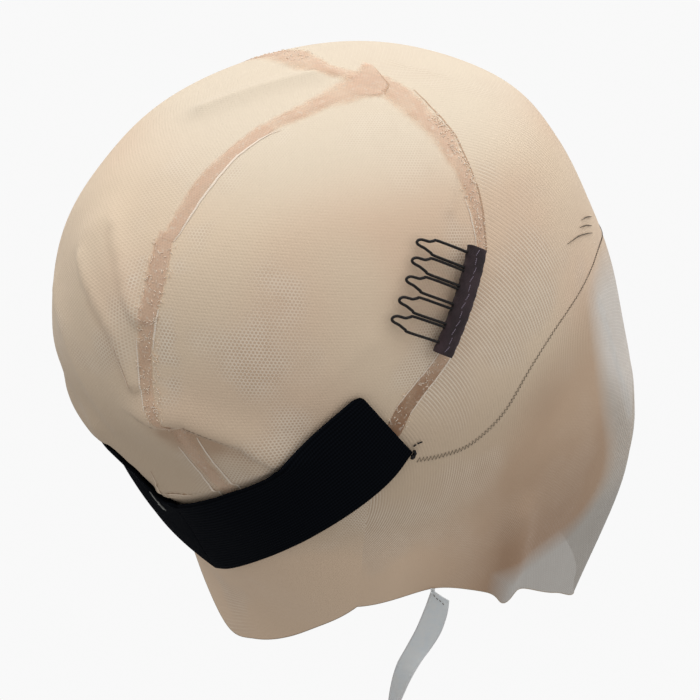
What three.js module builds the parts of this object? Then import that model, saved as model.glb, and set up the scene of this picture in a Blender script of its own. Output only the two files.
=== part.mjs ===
// Full lace wig cap with its sewn side out: millimetres, +Z up, the face looks towards -Y and the wearer's
// right is -X. The origin is inside the crown, where the cap rests when it is worn.
import * as THREE from "three";

// Cloth and clearances
const LACE_WALL = 1.0;
const GAP = 0.3;
const TAPE_WALL = 1.0;
const FRONT_TAPE = { reach: 143, steps: 48 }; // reach is the arc from the crown down to each end of the band
const BACK_TAPE = { width: 8, share: 0.62, skew: 1.3, steps: 36 }; // share of the back seam above the band
// Width of the front tape by its arc from the crown.
const FRONT_TAPE_WIDTHS = [
  { arc: 0, width: 11 },
  { arc: 25, width: 10.5 },
  { arc: 45, width: 7.5 },
  { arc: 70, width: 6 },
  { arc: 100, width: 5.5 },
  { arc: 143, width: 6.5 },
];
const BAND = { wall: 1.6, steps: 16, rowsAcross: 4 };
const LABEL = { width: 8.5, wall: 1.0 };

// One sewn comb: its bar lies along the front seam, its wire is bent into teeth that point to the back.
const COMB = { length: 34, width: 6.8, bow: 0.8, height: 3, slot: 1.6, slotDepth: 3.6 };
const COMB_MIDDLE = { x: -74.5, y: 19, z: -45 }; // of the right comb, which the left one mirrors
const COMB_HEADING = { x: -0.19, y: 0.57, z: -0.8 }; // along its bar, away from the crown
const COMB_STEPS = 12;
const WIRE = { teeth: 5, pitch: 5.8, diameter: 0.9, sides: 5, tipLift: 2.8 };

// Half width of a comb tooth at each distance from the edge of the bar.
const TOOTH = [
  { along: -2.4, half: 2.2 },
  { along: 5, half: 2.25 },
  { along: 11.6, half: 2.25 },
  { along: 13.9, half: 1.4 },
  { along: 16.4, half: 1.15 },
  { along: 17.5, half: 0.75 },
  { along: 18, half: 0 },
];

// Level sections of the cap, by depth below the crown: reach to the face, to the back and to each side.
const SECTIONS = [
  { drop: 0, front: 0, back: 0, side: 0 },
  { drop: 3.5, front: 30.5, back: 37.5, side: 29 },
  { drop: 14, front: 56.5, back: 70, side: 53.5 },
  { drop: 31, front: 71, back: 92.5, side: 66.5 },
  { drop: 53, front: 82, back: 104, side: 74.5 },
  { drop: 78, front: 94, back: 105.5, side: 77.5 },
  { drop: 104, front: 103, back: 96, side: 77.5 },
  { drop: 130, front: 112, back: 80.5, side: 75.5 },
  { drop: 155, front: 117.5, back: 65.5, side: 71.5 },
  { drop: 180, front: 112.5, back: 51.5, side: 65.5 },
  { drop: 212, front: 97, back: 44, side: 57.5 },
];
const OVAL = 2.15; // exponent of each section's outline: 2 is an ellipse, more is squarer
const MIDDLE = new THREE.Vector3(0, 0, -100); // guide points are carried out from here onto the cap

// Guide lines over the cap, one row for each point that the line passes.
// Right half of the ear to ear seam, from the crown to the lower edge. The left half mirrors it.
const FRONT_SEAM = [
  { x: 0, y: -3, z: 0 },
  { x: -36, y: -3.5, z: -5 },
  { x: -58, y: -0.5, z: -17 },
  { x: -69, y: 4, z: -34 },
  { x: -73.5, y: 14.5, z: -48 },
  { x: -76, y: 25, z: -62.5 },
  { x: -73.5, y: 41.5, z: -80.5 },
  { x: -68, y: 49, z: -112 },
  { x: -55, y: 43, z: -163 },
];
const BACK_SEAM = [
  { x: 0, y: -3, z: 0 },
  { x: -7, y: 27, z: -2 },
  { x: -8, y: 47, z: -6 },
  { x: -11, y: 63, z: -11 },
  { x: -15.5, y: 79, z: -20.5 },
  { x: -19, y: 92, z: -35 },
  { x: -22.5, y: 101, z: -57 },
  { x: -25, y: 102, z: -78 },
  { x: -37.5, y: 91.5, z: -94 },
  { x: -41, y: 84, z: -107 },
  { x: -24, y: 66, z: -155 },
  { x: -4, y: 46.5, z: -200 },
];
// Right half of the lower edge below the face, from the end of the front seam to the chin.
const FACE_EDGE = [
  { x: -55, y: 43, z: -163 },
  { x: -68.5, y: 22, z: -155.5 },
  { x: -69.5, y: -1.5, z: -166.5 },
  { x: -68.5, y: -9, z: -173.5 },
  { x: -67, y: -17, z: -173.5 },
  { x: -62, y: -34, z: -185 },
  { x: -53, y: -54, z: -199 },
  { x: -42, y: -70, z: -208 },
  { x: 0, y: -97, z: -212 },
];
// Lower edge at the nape, from each end of the front seam to the foot of the back seam.
const NAPE_EDGE_RIGHT = [
  { x: -55, y: 43, z: -163 },
  { x: -40, y: 44.5, z: -174.5 },
  { x: -24, y: 46, z: -188.5 },
  { x: -4, y: 46.5, z: -200 },
];
const NAPE_EDGE_LEFT = [
  { x: 55, y: 43, z: -163 },
  { x: 46, y: 43.5, z: -179 },
  { x: 31, y: 44, z: -198 },
  { x: 14, y: 44.5, z: -206 },
  { x: -4, y: 46.5, z: -200 },
];
const BAND_TOP = [
  { x: -68, y: 54, z: -68.5 },
  { x: -62, y: 67, z: -80 },
  { x: -53.5, y: 79, z: -94.5 },
  { x: -37.5, y: 85, z: -107 },
  { x: -15, y: 85, z: -121 },
];
const BAND_TOP_LEFT = { x: 2, y: 94, z: -108.5 }; // the left half rises at once from the nape
const BAND_FOOT = [
  { x: -73.5, y: 37, z: -93.5 },
  { x: -70, y: 45, z: -104.5 },
  { x: -55, y: 61.5, z: -123 },
  { x: -38.5, y: 66.5, z: -137.5 },
  { x: -6, y: 62, z: -161.5 },
];
// The label hangs from the lower edge below the right ear. Each row is a step away from its sewn end, with
// the tilt of its width in degrees, which follows the edge at the top and is level further down.
const LABEL_SEWN = { x: -69.3, y: 18.5, z: -158.5 };
const LABEL_HANG = [
  { inward: -0.5, down: -4, tilt: 42 },
  { inward: 0, down: 0, tilt: 42 },
  { inward: 1.7, down: 7.5, tilt: 20 },
  { inward: 4.8, down: 16.5, tilt: 4 },
  { inward: 10, down: 26.5, tilt: 0 },
  { inward: 13.7, down: 36, tilt: 0 },
  { inward: 15.6, down: 44, tilt: 0 },
  { inward: 16.6, down: 52, tilt: 0 },
];
const LABEL_SEWN_ROWS = 2; // the first rows lie on the lace
const LABEL_LEVEL = new THREE.Vector3(-0.64, -0.77, 0); // level direction of the label's width

// Folds of the lace: ridges that run between two points, with their half width and height.
const FOLDS = [
  { from: [9, 91, -29], to: [-14, 100.5, -46], width: 9, height: 1.6 },
  { from: [15, 96, -37], to: [-9, 105, -56], width: 9, height: 1.6 },
  { from: [-27, 100, -82], to: [-51, 82, -89], width: 12, height: 3 },
  { from: [5, 11, 0], to: [19, 45, -6], width: 5, height: 1.5 },
  { from: [-60, -80, -120], to: [-49, -61, -206], width: 9, height: 3 },
  { from: [60, -80, -120], to: [49, -61, -206], width: 9, height: 3 },
  { from: [-78, -12, -140], to: [-68, -10, -175], width: 7, height: 3 },
  { from: [78, -12, -140], to: [68, -10, -175], width: 7, height: 3 },
];

// Fineness of the shapes
const PANEL_STEPS = { seam: 28, front: 16, right: 16, left: 20 }; // along a seam, then across each panel
const PANEL_TOP = 0.012; // share of the seams where the back panels start, clear of the crown's point
const ACROSS = [-0.5, 0, 0.5]; // places across a tape or the label, as shares of its width
const SEARCH = { reach: 300, halvings: 34 }; // how the cap's surface is found along a ray
const NORMAL_STEP = 0.02; // radians between the points that give a normal
const AHEAD_STEP = 0.004; // share of a guide line between the points that give its heading
const POINTS_PER_MM = 1000; // corners nearer than one part of this are one corner
const MOST_TRIM = 0.4; // share of a panel's width that a seam's gap may take
const LEAD_POWER = 4; // how late a back panel bends towards the nape edge

// Slope of a section column at a row, over the root of the depth, which keeps the crown round.
const ROOTS = SECTIONS.map((row) => Math.sqrt(row.drop));
function slopeAt(column, row) {
  const low = Math.max(row - 1, 0);
  const high = Math.min(row + 1, SECTIONS.length - 1);
  return (SECTIONS[high][column] - SECTIONS[low][column]) / (ROOTS[high] - ROOTS[low]);
}

// A section column at any depth, as a smooth curve through the rows.
function reachAt(column, drop) {
  const root = Math.min(Math.sqrt(drop), ROOTS.at(-1));
  const row = Math.max(ROOTS.findIndex((value) => value >= root), 1) - 1;
  const span = ROOTS[row + 1] - ROOTS[row];
  const t = (root - ROOTS[row]) / span;
  const start = SECTIONS[row][column];
  const rise = SECTIONS[row + 1][column] - start;
  const a = slopeAt(column, row) * span;
  const b = slopeAt(column, row + 1) * span;
  return start + t * (a + t * (3 * rise - 2 * a - b + t * (a + b - 2 * rise)));
}

function isOutside(point) {
  if (point.z >= 0) return true;
  const long = reachAt(point.y < 0 ? "front" : "back", -point.z);
  const wide = reachAt("side", -point.z);
  return Math.abs(point.x / wide) ** OVAL + Math.abs(point.y / long) ** OVAL > 1;
}

// How far the folds stand out at a point.
function foldHeight(point) {
  let height = 0;
  for (const fold of FOLDS) {
    const line = new THREE.Line3(new THREE.Vector3(...fold.from), new THREE.Vector3(...fold.to));
    const away = line.closestPointToPoint(point, true, new THREE.Vector3()).distanceTo(point);
    height += fold.height * Math.exp(-((away / fold.width) ** 2));
  }
  return height;
}

// The point of the cap's inside in a direction from the middle, by halving the range that holds it.
function insidePoint(direction) {
  let near = 0;
  let far = SEARCH.reach;
  const point = new THREE.Vector3();
  for (let turn = 0; turn < SEARCH.halvings; turn += 1) {
    const half = (near + far) / 2;
    point.copy(MIDDLE).addScaledVector(direction, half);
    if (isOutside(point)) far = half;
    else near = half;
  }
  return point.addScaledVector(direction, foldHeight(point));
}

function directionTo(point) {
  return point.clone().sub(MIDDLE).normalize();
}

// The cap's outward normal, from four points around.
function normalAt(direction) {
  const steep = Math.abs(direction.z) > Math.SQRT1_2;
  const helper = steep ? new THREE.Vector3(1, 0, 0) : new THREE.Vector3(0, 0, 1);
  const first = new THREE.Vector3().crossVectors(direction, helper).normalize();
  const second = new THREE.Vector3().crossVectors(direction, first);
  const probe = (axis, sign) =>
    insidePoint(direction.clone().addScaledVector(axis, sign * NORMAL_STEP).normalize());
  const u = probe(first, 1).sub(probe(first, -1));
  const v = probe(second, 1).sub(probe(second, -1));
  return u.cross(v).normalize();
}

// A point at a height over the cap's inside.
function onCap(direction, lift) {
  return insidePoint(direction).addScaledVector(normalAt(direction), lift);
}

// A direction part of the way along the arc from one to another.
function between(from, to, share) {
  const angle = from.angleTo(to);
  if (angle < 1e-6) return from.clone();
  const start = Math.sin((1 - share) * angle) / Math.sin(angle);
  const end = Math.sin(share * angle) / Math.sin(angle);
  return from.clone().multiplyScalar(start).addScaledVector(to, end);
}

// A guide line as a curve that lies on the cap.
function guide(rows) {
  const points = rows.map((row) => insidePoint(directionTo(new THREE.Vector3(row.x, row.y, row.z))));
  const curve = new THREE.CatmullRomCurve3(points, false, "catmullrom");
  return {
    length: curve.getLength(),
    at: (share) => directionTo(curve.getPointAt(THREE.MathUtils.clamp(share, 0, 1))),
  };
}

function mirrored(rows) {
  return rows.map((row) => ({ ...row, x: -row.x }));
}

// Joins points and triangles into one closed body whose faces look out.
class Body {
  constructor() {
    this.places = new Map();
    this.points = [];
    this.faces = [];
  }
  place(point) {
    const key = [point.x, point.y, point.z].map((value) => Math.round(value * POINTS_PER_MM)).join(" ");
    if (!this.places.has(key)) {
      this.places.set(key, this.points.length);
      this.points.push(point);
    }
    return this.places.get(key);
  }
  triangle(a, b, c) {
    const corners = [a, b, c].map((point) => this.place(point));
    if (new Set(corners).size === 3) this.faces.push(corners);
  }
  quad(a, b, c, d) {
    this.triangle(a, b, c);
    this.triangle(a, c, d);
  }
  geometry() {
    let volume = 0;
    for (const [a, b, c] of this.faces) {
      const edge = new THREE.Vector3().crossVectors(this.points[b], this.points[c]);
      volume += this.points[a].dot(edge);
    }
    const index = this.faces.flatMap(([a, b, c]) => (volume < 0 ? [a, c, b] : [a, b, c]));
    const made = new THREE.BufferGeometry().setFromPoints(this.points);
    made.setIndex(index);
    made.computeVertexNormals();
    return made;
  }
}

// A wall of cloth: a grid of directions laid on the cap between two heights.
function wall(directions, lift, thick) {
  const grid = (height) => directions.map((row) => row.map((direction) => onCap(direction, height)));
  return wallBetween(grid(lift + thick), grid(lift));
}

function wallBetween(outer, inner) {
  const body = new Body();
  const rows = outer.length - 1;
  const columns = outer[0].length - 1;
  for (let r = 0; r < rows; r += 1) {
    for (let c = 0; c < columns; c += 1) {
      body.quad(outer[r][c], outer[r][c + 1], outer[r + 1][c + 1], outer[r + 1][c]);
      body.quad(inner[r][c], inner[r + 1][c], inner[r + 1][c + 1], inner[r][c + 1]);
    }
  }
  const edge = [];
  for (let c = 0; c < columns; c += 1) edge.push([0, c]);
  for (let r = 0; r < rows; r += 1) edge.push([r, columns]);
  for (let c = columns; c > 0; c -= 1) edge.push([rows, c]);
  for (let r = rows; r > 0; r -= 1) edge.push([r, 0]);
  edge.forEach(([r, c], k) => {
    const [nextRow, nextColumn] = edge[(k + 1) % edge.length];
    body.quad(outer[nextRow][nextColumn], outer[r][c], inner[r][c], inner[nextRow][nextColumn]);
  });
  return body.geometry();
}

// A section carried along frames, closed at both ends. Each frame has an origin and two directions.
function sweep(frames, section) {
  const body = new Body();
  const rings = frames.map(({ origin, across, out }) =>
    section.map(([a, b]) => origin.clone().addScaledVector(across, a).addScaledVector(out, b)),
  );
  const count = section.length;
  for (let r = 0; r + 1 < rings.length; r += 1) {
    for (let k = 0; k < count; k += 1) {
      const next = (k + 1) % count;
      body.quad(rings[r][k], rings[r][next], rings[r + 1][next], rings[r + 1][k]);
    }
  }
  const flat = section.map(([a, b]) => new THREE.Vector2(a, b));
  for (const [a, b, c] of THREE.ShapeUtils.triangulateShape(flat, [])) {
    const first = rings[0];
    const last = rings.at(-1);
    body.triangle(first[a], first[c], first[b]);
    body.triangle(last[a], last[b], last[c]);
  }
  return body.geometry();
}

const steps = (count) => Array.from({ length: count + 1 }, (_, k) => k / count);

// Directions of the front panel between two guide lines, drawn in from the seam by half a gap.
const TRIM = GAP / 2 / -MIDDLE.z; // as an angle at the middle
function frontPanel(seam, edge, along, across) {
  return along.map((t) => {
    const from = seam.at(t);
    const to = edge.at(t);
    const trim = Math.min(TRIM / from.angleTo(to), MOST_TRIM);
    return across.map((share) => between(from, to, trim + share * (1 - trim)));
  });
}

// Directions of a back panel between two seams, drawn in from both and led to the nape edge at its foot.
function backPanel(seam, otherSeam, foot, along, across) {
  return along.map((t) => {
    const from = seam.at(t);
    const to = otherSeam.at(t);
    const trim = Math.min(TRIM / from.angleTo(to), MOST_TRIM);
    return across.map((share) => {
      const straight = between(seam.at(1), otherSeam.at(1), share);
      const lead = foot.at(share).sub(straight).multiplyScalar(t ** LEAD_POWER);
      return between(from, to, trim + share * (1 - 2 * trim)).add(lead).normalize();
    });
  });
}

// A place beside a guide line: a distance to its side, and the frame there.
function beside(line, share, sideways) {
  const direction = line.at(share);
  const point = insidePoint(direction);
  const before = insidePoint(line.at(share - AHEAD_STEP));
  const ahead = insidePoint(line.at(share + AHEAD_STEP)).sub(before).normalize();
  const across = new THREE.Vector3().crossVectors(normalAt(direction), ahead).normalize();
  return { direction: directionTo(point.addScaledVector(across, sideways)), across };
}

// Directions of a tape along a guide line, with its width by the share of the line.
function tape(line, from, to, count, widthAt) {
  return ACROSS.map((place) =>
    steps(count).map((t) => {
      const share = from + t * (to - from);
      return beside(line, share, place * widthAt(share)).direction;
    }),
  );
}

// The front tape's width at an arc from the crown, eased between the rows.
function frontTapeWidth(arc) {
  const last = FRONT_TAPE_WIDTHS.length - 1;
  const found = FRONT_TAPE_WIDTHS.findIndex((row) => row.arc >= arc);
  const next = THREE.MathUtils.clamp(found < 0 ? last : found, 1, last);
  const low = FRONT_TAPE_WIDTHS[next - 1];
  const high = FRONT_TAPE_WIDTHS[next];
  const ease = THREE.MathUtils.smoothstep(arc, low.arc, high.arc);
  return THREE.MathUtils.lerp(low.width, high.width, ease);
}

const material = (color, roughness, metalness = 0) =>
  new THREE.MeshStandardMaterial({ color, roughness, metalness });
const FRONT_LACE = material(0xcbb39a, 0.9);
const BACK_LACE = material(0xd2b998, 0.9);
const TAPE_CLOTH = material(0xc9a98c, 0.85);
const ELASTIC = material(0x0b0d12, 0.8);
const BINDING = material(0x342c2d, 0.8);
const STEEL_WIRE = material(0x120c0c, 0.4, 0.6);
const SATIN = material(0xd4dee6, 0.35);

const cap = new THREE.Group();
function add(name, geometry, finish) {
  const mesh = new THREE.Mesh(geometry, finish);
  mesh.name = name;
  cap.add(mesh);
}

const seamRight = guide(FRONT_SEAM);
const seamLeft = guide(mirrored(FRONT_SEAM));
const seamAcross = guide([...FRONT_SEAM.toReversed(), ...mirrored(FRONT_SEAM).slice(1)]);
const seamBack = guide(BACK_SEAM);
const faceEdge = guide([...FACE_EDGE, ...mirrored(FACE_EDGE).toReversed().slice(1)]);

// Lace panels. Both sides of the front seam have their corners at the same places along it.
const front = frontPanel(seamAcross, faceEdge, steps(2 * PANEL_STEPS.seam), steps(PANEL_STEPS.front));
add("front_lace", wall(front, 0, LACE_WALL), FRONT_LACE);
const downBack = [PANEL_TOP, ...steps(PANEL_STEPS.seam).slice(1)];
const footRight = guide(NAPE_EDGE_RIGHT);
const footLeft = guide(NAPE_EDGE_LEFT);
const backRight = backPanel(seamRight, seamBack, footRight, downBack, steps(PANEL_STEPS.right));
const backLeft = backPanel(seamLeft, seamBack, footLeft, downBack, steps(PANEL_STEPS.left));
add("back_lace_right", wall(backRight, 0, LACE_WALL), BACK_LACE);
add("back_lace_left", wall(backLeft, 0, LACE_WALL), BACK_LACE);

// Seam tapes: the front one runs over the crown from band to band, the back one from it to the band.
const ON_LACE = LACE_WALL + GAP;
const bandShare = FRONT_TAPE.reach / seamAcross.length;
const overCrown = tape(seamAcross, 0.5 - bandShare, 0.5 + bandShare, FRONT_TAPE.steps, (share) =>
  frontTapeWidth(Math.abs(share - 0.5) * seamAcross.length),
);
add("front_seam_tape", wall(overCrown, ON_LACE, TAPE_WALL), TAPE_CLOTH);
// The back tape's square end meets the front tape at a slant, so it starts a little further down.
const backStart = (frontTapeWidth(0) / 2 + GAP + BACK_TAPE.skew) / seamBack.length;
const downSeam = tape(seamBack, backStart, BACK_TAPE.share, BACK_TAPE.steps, () => BACK_TAPE.width);
add("back_seam_tape", wall(downSeam, ON_LACE, TAPE_WALL), TAPE_CLOTH);

// Elastic band: two halves that meet in a point at the nape.
function bandHalf(topRows, footRows) {
  const top = guide(topRows);
  const foot = guide(footRows);
  const rows = steps(BAND.rowsAcross);
  const clear = GAP / 2 / top.length;
  return rows.map((share) =>
    steps(BAND.steps).map((t) => between(top.at(t * (1 - clear)), foot.at(t * (1 - clear)), share)),
  );
}
const leftTop = [...mirrored(BAND_TOP.slice(0, -1)), BAND_TOP_LEFT, BAND_TOP.at(-1)];
const leftFoot = [...mirrored(BAND_FOOT.slice(0, -1)), BAND_FOOT.at(-1)];
add("elastic_band_right", wall(bandHalf(BAND_TOP, BAND_FOOT), ON_LACE, BAND.wall), ELASTIC);
add("elastic_band_left", wall(bandHalf(leftTop, leftFoot), ON_LACE, BAND.wall), ELASTIC);

// Combs: a folded binding with a slot towards the back, and one bent wire whose bends sit in the slot.
const BAR_LIFT = ON_LACE + TAPE_WALL + GAP;

// Places of a comb by distance along its bar from the middle and away from the bar towards the tips.
function combFrame(side) {
  const turned = ({ x, y, z }) => new THREE.Vector3(-side * x, y, z);
  const direction = directionTo(turned(COMB_MIDDLE));
  const origin = insidePoint(direction);
  const out = normalAt(direction);
  const across = new THREE.Vector3().crossVectors(out, turned(COMB_HEADING)).normalize().multiplyScalar(side);
  const ahead = new THREE.Vector3().crossVectors(across, out).multiplyScalar(side);
  return (along, away) => {
    const bow = COMB.bow * (1 - ((2 * along) / COMB.length) ** 2);
    const place = origin.clone().addScaledVector(ahead, along).addScaledVector(across, away - bow);
    return { direction: directionTo(place), across };
  };
}

function combBar(side) {
  const w = COMB.width / 2;
  const low = (COMB.height - COMB.slot) / 2;
  const high = (COMB.height + COMB.slot) / 2;
  const deep = w - COMB.slotDepth;
  const outline = [
    [-w, 0],
    [w, 0],
    [w, low],
    [deep, low],
    [deep, high],
    [w, high],
    [w, COMB.height],
    [-w, COMB.height],
  ];
  const place = combFrame(side);
  const frames = steps(COMB_STEPS).map((t) => {
    const { direction, across } = place((t - 0.5) * COMB.length, 0);
    return { origin: onCap(direction, BAR_LIFT), across, out: normalAt(direction) };
  });
  return sweep(frames, outline);
}

// The wire's path as places along the bar and away from it, tooth after tooth.
function wirePlaces() {
  const first = (-(WIRE.teeth - 1) * WIRE.pitch) / 2;
  const places = [];
  for (let tooth = 0; tooth < WIRE.teeth; tooth += 1) {
    const middle = first + tooth * WIRE.pitch;
    for (const row of TOOTH) places.push({ along: middle - row.half, away: row.along });
    for (const row of TOOTH.toReversed().slice(1)) places.push({ along: middle + row.half, away: row.along });
  }
  return places;
}

function combWire(side) {
  const place = combFrame(side);
  const baseLift = BAR_LIFT + COMB.height / 2;
  const reach = TOOTH.at(-1).along;
  const points = wirePlaces().map(({ along, away }) => {
    const { direction } = place(along, COMB.width / 2 + away);
    const lift = baseLift + (WIRE.tipLift - baseLift) * Math.max(away, 0) / reach;
    return { point: onCap(direction, lift), out: normalAt(direction) };
  });
  const frames = points.map(({ point, out }, k) => {
    const before = points[Math.max(k - 1, 0)].point;
    const after = points[Math.min(k + 1, points.length - 1)].point;
    const ahead = after.clone().sub(before).normalize();
    const across = new THREE.Vector3().crossVectors(out, ahead).normalize();
    return { origin: point, across, out: ahead.cross(across) };
  });
  const ring = Array.from({ length: WIRE.sides }, (_, k) => {
    const turn = (2 * Math.PI * k) / WIRE.sides;
    return [(WIRE.diameter / 2) * Math.cos(turn), (WIRE.diameter / 2) * Math.sin(turn)];
  });
  return sweep(frames, ring);
}
for (const [name, side] of [["right", -1], ["left", 1]]) {
  add(`comb_bar_${name}`, combBar(side), BINDING);
  add(`comb_wire_${name}`, combWire(side), STEEL_WIRE);
}

// Label: sewn flat on the lace at its lower edge, then hanging free.
function label() {
  const sewn = directionTo(new THREE.Vector3(LABEL_SEWN.x, LABEL_SEWN.y, LABEL_SEWN.z));
  const down = new THREE.Vector3(0, 0, -1);
  const layer = (lift) =>
    ACROSS.map((share) =>
      LABEL_HANG.map((row, k) => {
        const tilt = THREE.MathUtils.degToRad(row.tilt);
        const aside = share * LABEL.width;
        const point = onCap(sewn, lift);
        point.addScaledVector(LABEL_LEVEL, aside * Math.cos(tilt) - row.inward);
        point.addScaledVector(down, aside * Math.sin(tilt) + row.down);
        return k < LABEL_SEWN_ROWS ? onCap(directionTo(point), lift) : point;
      }),
    );
  return wallBetween(layer(ON_LACE + LABEL.wall), layer(ON_LACE));
}
add("label_ribbon", label(), SATIN);

export default cap;
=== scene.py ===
import math

import bpy
import numpy as np
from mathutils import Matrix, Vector


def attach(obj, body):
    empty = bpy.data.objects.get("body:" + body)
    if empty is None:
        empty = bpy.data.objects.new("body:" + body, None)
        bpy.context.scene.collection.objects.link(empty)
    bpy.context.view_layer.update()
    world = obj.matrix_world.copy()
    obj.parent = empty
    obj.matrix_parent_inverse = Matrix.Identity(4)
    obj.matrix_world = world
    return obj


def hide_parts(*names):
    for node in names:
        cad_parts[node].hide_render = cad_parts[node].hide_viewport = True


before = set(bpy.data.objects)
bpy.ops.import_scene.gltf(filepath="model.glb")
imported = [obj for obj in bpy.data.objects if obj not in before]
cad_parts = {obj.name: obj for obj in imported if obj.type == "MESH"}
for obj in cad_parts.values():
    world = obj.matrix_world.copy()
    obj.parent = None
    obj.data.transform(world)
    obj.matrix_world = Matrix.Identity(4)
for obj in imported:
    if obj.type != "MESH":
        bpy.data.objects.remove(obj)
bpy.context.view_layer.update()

# The cap's form, in millimetres. Its sections, seams, lower edges, band edges and folds repeat the solids.
LACE_LIFT = 0.5  # middle of the net over the inner face
ON_LACE = 1.3  # underside of what is sewn on the lace
SECTIONS = np.array(
    [  # drop, front, back, side
        (0, 0, 0, 0),
        (3.5, 30.5, 37.5, 29),
        (14, 56.5, 70, 53.5),
        (31, 71, 92.5, 66.5),
        (53, 82, 104, 74.5),
        (78, 94, 105.5, 77.5),
        (104, 103, 96, 77.5),
        (130, 112, 80.5, 75.5),
        (155, 117.5, 65.5, 71.5),
        (180, 112.5, 51.5, 65.5),
        (212, 97, 44, 57.5),
    ],
    float,
)
OVAL = 2.15
MIDDLE = np.array((0.0, 0.0, -100.0))
FARTHEST, HALVINGS = 300.0, 22  # the search for the inner face along a direction from the middle
SMALL_TURN = 0.02  # step of a direction, for the slope of the face
SMALL_SHARE = 0.004  # step along a guide line, for its heading

# Guide lines, one row of x, y, z for each point.
FRONT_SEAM = [
    (0, -3, 0), (-36, -3.5, -5), (-58, -0.5, -17), (-69, 4, -34), (-73.5, 14.5, -48), (-76, 25, -62.5),
    (-73.5, 41.5, -80.5), (-68, 49, -112), (-55, 43, -163),
]
BACK_SEAM = [
    (0, -3, 0), (-7, 27, -2), (-8, 47, -6), (-11, 63, -11), (-15.5, 79, -20.5), (-19, 92, -35),
    (-22.5, 101, -57), (-25, 102, -78), (-37.5, 91.5, -94), (-41, 84, -107), (-24, 66, -155),
    (-4, 46.5, -200),
]
FACE_EDGE = [
    (-55, 43, -163), (-68.5, 22, -155.5), (-69.5, -1.5, -166.5), (-68.5, -9, -173.5), (-67, -17, -173.5),
    (-62, -34, -185), (-53, -54, -199), (-42, -70, -208), (0, -97, -212),
]
NAPE_EDGE_RIGHT = [(-55, 43, -163), (-40, 44.5, -174.5), (-24, 46, -188.5), (-4, 46.5, -200)]
NAPE_EDGE_LEFT = [(55, 43, -163), (46, 43.5, -179), (31, 44, -198), (14, 44.5, -206), (-4, 46.5, -200)]
BAND_TOP = [(-68, 54, -68.5), (-62, 67, -80), (-53.5, 79, -94.5), (-37.5, 85, -107), (-15, 85, -121)]
BAND_FOOT = [
    (-73.5, 37, -93.5), (-70, 45, -104.5), (-55, 61.5, -123), (-38.5, 66.5, -137.5), (-6, 62, -161.5),
]
HAIRLINE = [
    (0, -86, -68), (-34, -77, -67.5), (-56, -60, -61), (-64, -50, -61.5), (-70, -38.5, -64.5),
    (-75, -23.5, -70.5), (-77.3, -10, -80), (-77.8, 2, -92), (-77, 15, -98.5), (-75.5, 26.5, -99),
    (-74, 34.5, -98),
]

# Soft folds of the solids: points, half width, height.
FOLDS = [
    ([(9, 91, -29), (-14, 100.5, -46)], 9, 1.6),
    ([(15, 96, -37), (-9, 105, -56)], 9, 1.6),
    ([(-27, 100, -82), (-51, 82, -89)], 12, 3),
    ([(5, 11, 0), (19, 45, -6)], 5, 1.5),
    ([(-60, -80, -120), (-49, -61, -206)], 9, 3),
    ([(60, -80, -120), (49, -61, -206)], 9, 3),
    ([(-78, -12, -140), (-68, -10, -175)], 7, 3),
    ([(78, -12, -140), (68, -10, -175)], 7, 3),
]
# Finer creases: points, half width above, half width below, height.
CREASES = [
    ([(5.3, 92.9, -29), (-4.2, 97.7, -35.1), (-10.5, 100.4, -40.7), (-19, 101.3, -48.5)], 4, 1.0, 1.3),
    ([(12, 99, -41), (0.5, 104.2, -47.4), (-7, 105.3, -51.3), (-13.3, 105.2, -56.1), (-20, 104.1, -69.5)],
     4, 1.0, 1.5),
    ([(4.9, 10.7, -0.3), (18.9, 44.6, -6.3)], 1.8, 1.8, 0.5),
    ([(-28, 101.5, -80.5), (-37, 97.5, -78.3), (-46.9, 89.6, -82.2), (-51.7, 84.7, -84.3),
      (-56.6, 76, -91.3)], 8, 0.8, 2.3),
    ([(0.4, -17.4, -1.1), (-6, -18.4, -1.3), (-16.8, -26.2, -3.5)], 1.6, 1.6, 0.6),
    ([(20.1, 8.8, -1.7), (11.4, 5.3, -0.6), (-2.5, 4.2, -0.1)], 2.2, 2.2, 0.8),
    ([(-51.5, 0.4, -12.3), (-56.3, 5.5, -15.9), (-61.9, 11.1, -22.3)], 1.3, 1.3, 0.6),
    ([(-14.2, 90.1, -112), (-12.5, 87, -117), (-14, 85, -121)], 0.9, 0.9, 0.8),
    ([(-13, 88.5, -115.5), (-26, 88, -110.5), (-37, 86, -105.5)], 1.6, 0.7, 0.9),
    ([(30, 96, -60), (16, 103, -66), (4, 104, -80), (-6, 101, -92)], 6, 3, 1.0),
    ([(34, 90, -78), (20, 97, -86), (6, 99, -98)], 5, 3, 0.9),
    ([(-64, 48, -55), (-60, 60, -64), (-55, 71, -78)], 5, 4, 0.8),
]
# Darker bands where the lace lies double, with painted shade under the folds and below the pleat: points,
# half width, half width, strength.
SHADES = [
    ([(5.3, 92.9, -30), (-4.2, 97.5, -36.5), (-10.5, 100.2, -42), (-19, 101, -50)], 1.5, 1.5, 0.6),
    ([(0.5, 104, -48.8), (-7, 105.1, -52.8), (-13.3, 105, -57.8), (-19, 104, -70)], 1.6, 1.6, 0.8),
    ([(-30, 100.8, -82.5), (-37, 97, -81), (-46, 89.5, -84.8), (-51, 84.5, -87)], 2.6, 2.6, 1.0),
    ([(-34, 97.5, -85), (-39, 94.5, -84), (-42, 91.5, -86)], 4.5, 4.5, 0.8),
]
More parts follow.
